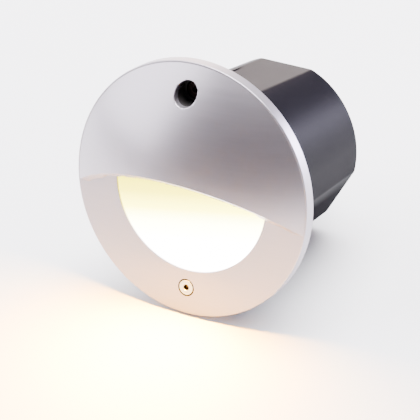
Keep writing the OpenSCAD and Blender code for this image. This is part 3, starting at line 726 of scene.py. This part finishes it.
# Camera at the photograph's angle
AZIMUTH = math.radians(30.06)
ELEVATION = math.radians(21.33)
ROLL = math.radians(2.67)
DISTANCE = 25.0 * PLATE_R * MM
SHIFT_RIGHT = 0.1470 * PLATE_R * MM
SHIFT_UP = -0.1512 * PLATE_R * MM
LENS = 286.9
level_back = Vector((math.sin(AZIMUTH), -math.cos(AZIMUTH), 0))
back = level_back * math.cos(ELEVATION) + Vector((0, 0, math.sin(ELEVATION)))
level = Vector((math.cos(AZIMUTH), math.sin(AZIMUTH), 0))
upward = back.cross(level)
right = level * math.cos(ROLL) + upward * math.sin(ROLL)
up = upward * math.cos(ROLL) - level * math.sin(ROLL)
camera_data = bpy.data.cameras.new("front_view")
camera_data.lens = LENS
camera_data.clip_start = 0.05
camera_data.clip_end = 20
camera = bpy.data.objects.new("front_view", camera_data)
scene.collection.objects.link(camera)
camera.rotation_mode = "QUATERNION"
camera.rotation_quaternion = Matrix((right, up, back)).transposed().to_quaternion()
camera.location = back * DISTANCE + right * SHIFT_RIGHT + up * SHIFT_UP + Vector((0, FACE_Y * MM, 0))
scene.camera = camera


# Front cover: plate with rim, spigot and hood
def arc(radius, centre_y, start_r, end_r, steps):
    """Points (radius from the axis, y) along the front of a ball that is centred on the axis."""
    first, last = math.asin(start_r / radius), math.asin(end_r / radius)
    angles = [first + (last - first) * i / steps for i in range(steps + 1)]
    return [(radius * math.sin(a), centre_y - radius * math.cos(a)) for a in angles]


def fillet(corner_r, corner_y, side_r, side_y, steps=4):
    """A quarter round at the corner (corner_r, corner_y), from (side_r, corner_y) to (corner_r, side_y)."""
    turns = [math.pi / 2 * i / steps for i in range(steps + 1)]
    return [(side_r + (corner_r - side_r) * math.sin(a), side_y + (corner_y - side_y) * math.cos(a))
            for a in turns]


def hood_shell():
    """The hood with its driver tube, cut off along the slope of its lip."""
    edge = HOOD_EDGE_R - HOOD_TRIM
    inside = HOOD_R - HOOD_WALL
    inside_r = math.sqrt(inside ** 2 - (HOOD_CENTRE_Y - HOOD_FOOT_Y) ** 2)
    outer = arc(HOOD_R, HOOD_CENTRE_Y, 0, edge, steps=60)
    inner = arc(inside, HOOD_CENTRE_Y, inside_r, 0, steps=48)
    hood = turned("hood", outer + [(edge, HOOD_FOOT_Y)] + inner, sides=256)
    end_r = HOOD_EDGE_R - 1
    middle = arc(HOOD_R - HOOD_WALL / 2, HOOD_CENTRE_Y, 0, end_r, steps=60)
    guide = bar("driver_guide", GUIDE_R, GUIDE_START_Y, HOOD_FOOT_Y, z=SCREW_Z)
    trim(guide, turned("guide_end", middle + [(end_r, FLANGE_CUT_Y), (0, FLANGE_CUT_Y)], sides=128))
    join(hood, guide)
    tilt = Matrix.Rotation(-HOOD_TILT, 4, "X")
    slope = Matrix.Translation((0, FACE_Y * MM, -HOOD_DROP * MM)) @ tilt
    cut(hood, box("below_hood", (-FAR, -FAR, -FAR), (FAR, FAR, 0), slope))
    cut(hood, bar("driver_hole", ACCESS_R, HOLE_CUT_Y, PLATE_BACK_Y, z=SCREW_Z))
    return hood


def depth_in_hood(place):
    return HOOD_R - (place - Vector((0, HOOD_CENTRE_Y, 0))).length


def on_inner_lip(place):
    """Where the slope of the lip meets the hood's inner face, in front of the light opening."""
    above = (place.z + HOOD_DROP) * math.cos(HOOD_TILT) + (place.y - FACE_Y) * math.sin(HOOD_TILT)
    on_slope = abs(above) < ON_SLOPE and place.y < LIP_START_Y
    return on_slope and abs(depth_in_hood(place) - HOOD_WALL) < ON_SHELL and abs(place.x) < OPENING_R + 1


def on_hole_edge(place):
    """Where the driver hole meets the hood's outer face."""
    off_axis = math.hypot(place.x, place.z - SCREW_Z)
    return abs(off_axis - ACCESS_R) < ON_HOLE and abs(depth_in_hood(place)) < ON_SHELL


def cast_cover():
    profile = [(OPENING_R, PLATE_BACK_Y), (OPENING_R, FACE_Y + OPENING_ROUND)]
    profile += [(OPENING_R + OPENING_ROUND_MIDDLE, FACE_Y + OPENING_ROUND_MIDDLE)]
    profile += [(OPENING_R + OPENING_ROUND, FACE_Y)]
    profile += fillet(PLATE_R, FACE_Y, PLATE_R - RIM_ROUND, FACE_Y + RIM_ROUND)
    profile += [(PLATE_R, RIM_END_Y), (RIM_IN_R, RIM_END_Y), (RIM_IN_R, PLATE_BACK_Y)]
    profile += [(SPIGOT_R, PLATE_BACK_Y), (SPIGOT_R, SPIGOT_END_Y)]
    profile += [(SPIGOT_IN_R, SPIGOT_END_Y), (SPIGOT_IN_R, PLATE_BACK_Y)]
    cover = turned("cast_cover", profile, sides=256)
    hole = [(0, FACE_Y - PAST), (SINK_R + PAST, FACE_Y - PAST),
            (SCREW_HOLE_R, FACE_Y + SINK_R - SCREW_HOLE_R), (SCREW_HOLE_R, FLANGE_CUT_Y), (0, FLANGE_CUT_Y)]
    for side in (1, -1):
        cut(cover, turned("screw_hole", hole, z=side * SCREW_Z, sides=60))
        pocket_y = PLATE_BACK_Y - POCKET_T
        cut(cover, bar("fixing_pocket", POCKET_R, pocket_y, FLANGE_CUT_Y, x=side * FIXING_X, sides=50))
    join(cover, hood_shell())
    round_edges(cover, on_inner_lip, LIP_ROUND, segments=5)
    round_edges(cover, on_hole_edge, HOLE_ROUND)
    return smooth(cover)


dress(cast_cover(), silver, "cover", "front_cover", "front_cover")


# Housing: drafted body with three flats and one groove, collar, flange, bosses and posts
def around(angle):
    """Turns what stands along +Z to the angle of a flat or post."""
    return Matrix.Rotation(math.radians(90 - angle), 4, "Y")


def drafted_body(name, wall, y1, rounding):
    """The body's outer form, taken in by a wall."""
    slope = math.tan(DRAFT)
    piece = cone(name, BODY_R - slope * BODY_Y - wall, BODY_R - slope * y1 - wall, BODY_Y, y1, sides=192)
    for angle in FLATS:
        outwards = Vector((math.cos(math.radians(angle)), 0, math.sin(math.radians(angle))))
        edit(piece)
        bpy.ops.mesh.bisect(
            plane_co=outwards * (FLAT_AT - wall) * MM,
            plane_no=outwards * math.cos(DRAFT) + Vector((0, math.sin(DRAFT), 0)),
            clear_outer=True, use_fill=True)
        leave()
    return bevel(piece, rounding, angle=12, segments=4)


def housing_cavity():
    """The room in the housing, less the rib behind the groove and the posts with their webs."""
    cavity = drafted_body("cavity", WALL, REAR_IN_Y, CAVITY_ROUND)
    low = (GROOVE_X - RIB_W / 2, GROOVE_START - RIB_WALL, GROOVE_FLOOR - RIB_WALL)
    cut(cavity, box("rib", low, (GROOVE_X + RIB_W / 2, GROOVE_END, OUTSIDE)))
    for angle in POSTS:
        cut(cavity, bar("post", POST_R, SINK_BACK_Y, REAR_Y, sides=64, **polar(POST_AT, angle)))
        low = (-WEB_T / 2, SINK_BACK_Y, WEB_START)
        cut(cavity, box("web", low, (WEB_T / 2, REAR_Y, OUTSIDE), around(angle)))
    return cavity


def moulded_housing():
    shell = drafted_body("moulded_housing", 0, REAR_Y, BODY_ROUND)
    low = (GROOVE_X - GROOVE_W / 2, GROOVE_START, GROOVE_FLOOR)
    cut(shell, box("groove", low, (GROOVE_X + GROOVE_W / 2, GROOVE_END + GROOVE_RUN_OUT, OUTSIDE)))
    join(shell, bar("collar", COLLAR_R, -OVERLAP, COLLAR_Y, sides=192))
    for side in (1, -1):
        join(shell, bar("screw_boss", BOSS_R, -OVERLAP, BOSS_Y, z=side * SCREW_Z, sides=64))
    join(shell, bar("flange", FLANGE_R, FLANGE_Y, 0, sides=192))
    cut(shell, bar("mouth", MOUTH_R, -FLANGE_CUT_Y, MOUTH_Y, sides=192))
    cut(shell, housing_cavity())
    for angle in POSTS:
        place = polar(POST_AT, angle)
        cut(shell, bar("post_hole", POST_HOLE_R, SINK_BACK_Y - PAST, POST_HOLE_Y, sides=32, **place))
    for side in (1, -1):
        z = side * SCREW_Z
        cut(shell, bar("insert_hole", INSERT_R, -FLANGE_CUT_Y, INSERT_Y, z=z, sides=48))
        cut(shell, bar("screw_room", SCREW_HOLE_R, 0, BOSS_HOLE_Y, z=z, sides=48))
        cut(shell, bar("wall_fixing", FIXING_R, -FLANGE_CUT_Y, FLANGE_CUT_Y, x=side * FIXING_X, sides=48))
    cut(shell, bar("gland_hole", GLAND_R + GLAND_HOLE_GAP, GLAND_CUT_START_Y, REAR_CUT_END_Y))
    clean(shell)
    return soften(shell, width=0.35, angle=35)


dress(moulded_housing(), black, "housing", "recess_housing", "recess_housing")


# Diffuser: a moulded opal cup with a rounded front edge and a flange
def opal_diffuser():
    front, edge = FACE_Y + DIFFUSER_GAP, OPENING_R - DIFFUSER_GAP
    inside_r, inside_y = edge - DIFFUSER_WALL, front + DIFFUSER_WALL
    cup = [(0, front), (edge, front), (edge, DIFFUSER_FLANGE_Y), (DIFFUSER_FLANGE_R, DIFFUSER_FLANGE_Y),
           (DIFFUSER_FLANGE_R, 0), (inside_r, 0), (inside_r, inside_y), (0, inside_y)]
    return soften(turned("opal_diffuser", cup, sides=192), width=0.5)


dress(opal_diffuser(), opal, "cover", "diffuser", "diffuser")


# Cover screws: countersunk heads with a hexagon socket and a rolled thread
def thread(name, root, crest, y0, turns, pitch):
    """A helical ridge about the Y axis."""
    half = pitch * THREAD_FOOT_SHARE
    foot = root - THREAD_SUNK
    points = [(foot, y0 - half), (crest, y0 - THREAD_CREST_HALF), (crest, y0 + THREAD_CREST_HALF),
              (foot, y0 + half)]
    ridge = outline(name, points + points[:1])
    facing_out(ridge)
    modify(ridge, "SCREW", axis="Y", screw_offset=pitch * MM, iterations=turns, steps=28, render_steps=28,
           use_merge_vertices=False)
    edit(ridge)
    bpy.ops.mesh.fill_holes(sides=4)
    bpy.ops.mesh.normals_make_consistent(inside=False)
    leave()
    return ridge


def socket_screw(name):
    """A cover screw at the upper screw's place."""
    root = SHANK_R - THREAD_DEPTH
    neck_y = FACE_Y + HEAD_R - SHANK_R
    profile = [(0, FACE_Y), (HEAD_R - HEAD_CHAMFER, FACE_Y), (HEAD_R, FACE_Y + HEAD_CHAMFER)]
    profile += [(SHANK_R, neck_y), (SHANK_R, neck_y + SHANK_L), (root, neck_y + SHANK_TAPER_END)]
    profile += [(root, SCREW_TIP_Y - TIP_L), (root - TIP_TAPER, SCREW_TIP_Y), (0, SCREW_TIP_Y)]
    screw = turned(name, profile, sides=64)
    start = neck_y + THREAD_START
    join(screw, thread("rolled_thread", root, THREAD_CREST_R, start, THREAD_TURNS, THREAD_PITCH))
    cut(screw, bar("socket", SOCKET_R, FACE_Y - PAST, FACE_Y + SOCKET_T, sides=6, phase=HEX_TURN))
    wide_r, narrow_r = SOCKET_R + SOCKET_LEAD_IN, SOCKET_R - SOCKET_LEAD_END
    wide_y, narrow_y = FACE_Y - SOCKET_LEAD_END, FACE_Y + SOCKET_LEAD_IN
    cut(screw, cone("socket_lead_in", wide_r, narrow_r, wide_y, narrow_y, sides=48))
    clean(screw, gap=0.005)
    soften(screw, width=0.07, angle=40, segments=2)
    screw.data.transform(Matrix.Translation((0, 0, SCREW_Z * MM)))
    return screw


upper_screw = socket_screw("upper_cover_screw")
lower_screw = copy_of(upper_screw, "lower_cover_screw", z=-2 * SCREW_Z)
# The top screw takes the steel painted dark as shade in the driver hole; the bottom one is bright steel
dress(upper_screw, shaded_screw_steel, "top cover screw", "cover_screw_top", "cover_screw_top")
dress(lower_screw, screw_steel, "bottom cover screw", "cover_screw_bottom", "cover_screw_bottom")


# Cable gland: body, seal and cap nut with rounded corners
def hexagon(name, y0, y1, chamfer):
    """A hexagonal bar whose corners are turned off at both ends."""
    piece = bar(name, GLAND_HEX, y0, y1, sides=6, phase=HEX_TURN)
    depth = (GLAND_HEX - chamfer) * CORNER_SLOPE
    corner = GLAND_HEX + CORNER_GAP
    profile = [(0, y0), (chamfer, y0), (corner, y0 + depth), (corner, y1 - depth), (chamfer, y1), (0, y1)]
    return trim(piece, turned("corner_chamfer", profile))


def gland_stem():
    stem = hexagon("gland_stem", GLAND_HEX_Y, GLAND_THREAD_Y, GLAND_HEX_CHAMFER_R)
    join(stem, bar("inner_thread", GLAND_R, GLAND_SPIGOT_Y, GLAND_HEX_Y + OVERLAP))
    join(stem, bar("outer_thread", GLAND_OUTER_R, GLAND_THREAD_Y - OVERLAP, GLAND_END_Y))
    cut(stem, bar("bore", GLAND_BORE_R, GLAND_CUT_START_Y, GLAND_CUT_END_Y))
    cut(stem, bar("seat", GLAND_SEAT_R, GLAND_SEAT_Y, GLAND_CUT_END_Y))
    clean(stem)
    return soften(stem, width=0.3)


def gland_cap():
    """The cap nut: a hexagon under a rounded dome, with a flat ring about its hole."""
    cap = bar("gland_cap", GLAND_HEX, NUT_Y, NUT_END_Y, sides=6, phase=HEX_TURN)
    corner = GLAND_HEX + CORNER_GAP
    ring_r, dome_y = NUT_HOLE_R + NUT_RING_W, NUT_END_Y - NUT_DOME_Y
    dome = [(0, NUT_Y), (NUT_CHAMFER_R, NUT_Y), (corner, NUT_Y + NUT_CHAMFER_Y), (corner, NUT_SHOULDER_Y)]
    dome += [(ring_r + NUT_DOME_W * math.cos(a), dome_y + NUT_DOME_Y * math.sin(a))
             for a in (i * math.pi / 12 for i in range(1, 7))]
    trim(cap, turned("dome", dome + [(0, NUT_END_Y)]))
    cut(cap, bar("nut_thread", GLAND_OUTER_R + FIT_GAP, GLAND_CUT_START_Y, NUT_WALL_Y))
    cut(cap, bar("nut_hole", NUT_HOLE_R, GLAND_CUT_START_Y, GLAND_CUT_END_Y))
    clean(cap)
    return soften(cap, width=0.4)


def gland_sleeve():
    outer, lip = GLAND_SEAT_R - FIT_GAP, GLAND_SEAT_R + SEAL_LIP
    top = GLAND_END_Y + SEAL_LIP_T
    profile = [(CABLE_R, GLAND_SEAT_Y), (outer, GLAND_SEAT_Y), (outer, GLAND_END_Y), (lip, GLAND_END_Y),
               (lip, top), (CABLE_R, top)]
    return soften(turned("gland_sleeve", profile), width=0.3)


dress(gland_stem(), gland_black, "housing", "gland_body", "gland_body")
dress(gland_cap(), gland_black, "gland cap nut", "gland_nut", "gland_nut")
dress(gland_sleeve(), seal_black, "housing", "gland_seal", "gland_seal")


# LEDs: white packages with a round phosphor window
def led_group(part, finish):
    """Copies the part to every LED's place, as one piece."""
    name = part.name
    copies = [copy_of(part, "one_led", **polar(radius, first + i * 360 / count))
              for radius, count, first in LED_RINGS for i in range(count)]
    bpy.data.objects.remove(part)
    pick(copies[0])
    for other in copies[1:]:
        other.select_set(True)
    bpy.ops.object.join()
    copies[0].name = name
    dress(copies[0], finish, "housing", "leds", "leds")


low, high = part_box("leds")
led_front, led_seat = low[1] / MM, high[1] / MM
package_front, window_end = led_front + LED_WINDOW_PROUD, led_front + LED_WINDOW_T
packages = box("led_packages", (-LED_HALF, package_front, -LED_HALF), (LED_HALF, led_seat, LED_HALF))
windows = [(0, led_front), (LED_WINDOW_R - LED_WINDOW_CHAMFER, led_front),
           (LED_WINDOW_R, led_front + LED_WINDOW_CHAMFER), (LED_WINDOW_R, window_end), (0, window_end)]
led_group(soften(packages, width=0.15), white_plastic)
led_group(turned("led_windows", windows, sides=24), phosphor("led_phosphor"))

# Table, which rises to the rear edge of the housing that lies on it
TABLE_SIZE = 14.0
REAR_EDGE = 39.6
lean = math.atan((PLATE_R - REAR_EDGE) / REAR_Y)
table_normal = Vector((0, -math.sin(lean), math.cos(lean)))
deselect()
bpy.ops.mesh.primitive_plane_add(size=TABLE_SIZE)
table = bpy.context.object
table.name = "table"
tilt = Vector((0, 0, 1)).rotation_difference(table_normal).to_matrix().to_4x4()
table.data.transform(Matrix.Translation((0, 0, -PLATE_R * MM)) @ tilt)
table.data.materials.append(Material("pale_table", Roughness=0.75, Base_Color=(0.86, 0.855, 0.875)).data)


# Soft studio light, with places in metres and power in watts
def soft_light(name, place, aim, size, power, colour, shape="SQUARE", seen=True, spread=180):
    data = bpy.data.lights.new(name, "AREA")
    data.shape = shape
    data.size = size
    data.spread = math.radians(spread)
    data.energy = power
    data.color = colour
    lamp = bpy.data.objects.new(name, data)
    lamp.location = place
    lamp.rotation_mode = "QUATERNION"
    lamp.rotation_quaternion = (Vector(aim) - Vector(place)).to_track_quat("-Z", "Y")
    lamp.visible_camera = seen
    scene.collection.objects.link(lamp)
    return lamp


soft_light("left_softbox", (-1.45, -0.65, 0.85), (0, 0, 0), size=1.9, power=80, colour=(0.96, 0.95, 1.0))
soft_light("overhead", (0.0, 0.45, 1.9), (0, 0.45, 0), size=1.9, power=135, colour=(0.99, 0.985, 1.0),
           spread=120)
soft_light("right_softbox", (0.95, 1.25, 0.26), (0, 0, 0), size=0.9, power=92, colour=(0.81, 0.78, 1.0))
soft_light("rear_softbox", (-0.85, 1.4, 0.62), (0, 0, 0), size=0.8, power=17, colour=(1.0, 0.81, 0.72))
glow = soft_light("diffuser_glow", (0, -0.020, -0.014), (0, -1.0, -0.614), size=0.03, power=4.2,
                  colour=(1.0, 0.44, 0.01), shape="DISK", seen=False)
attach(glow, "cover")
world = bpy.data.worlds.new("studio")
scene.world = world
world.use_nodes = True
background = world.node_tree.nodes["Background"]
background.inputs["Color"].default_value = (0.80, 0.66, 0.80, 1)
background.inputs["Strength"].default_value = 0.16
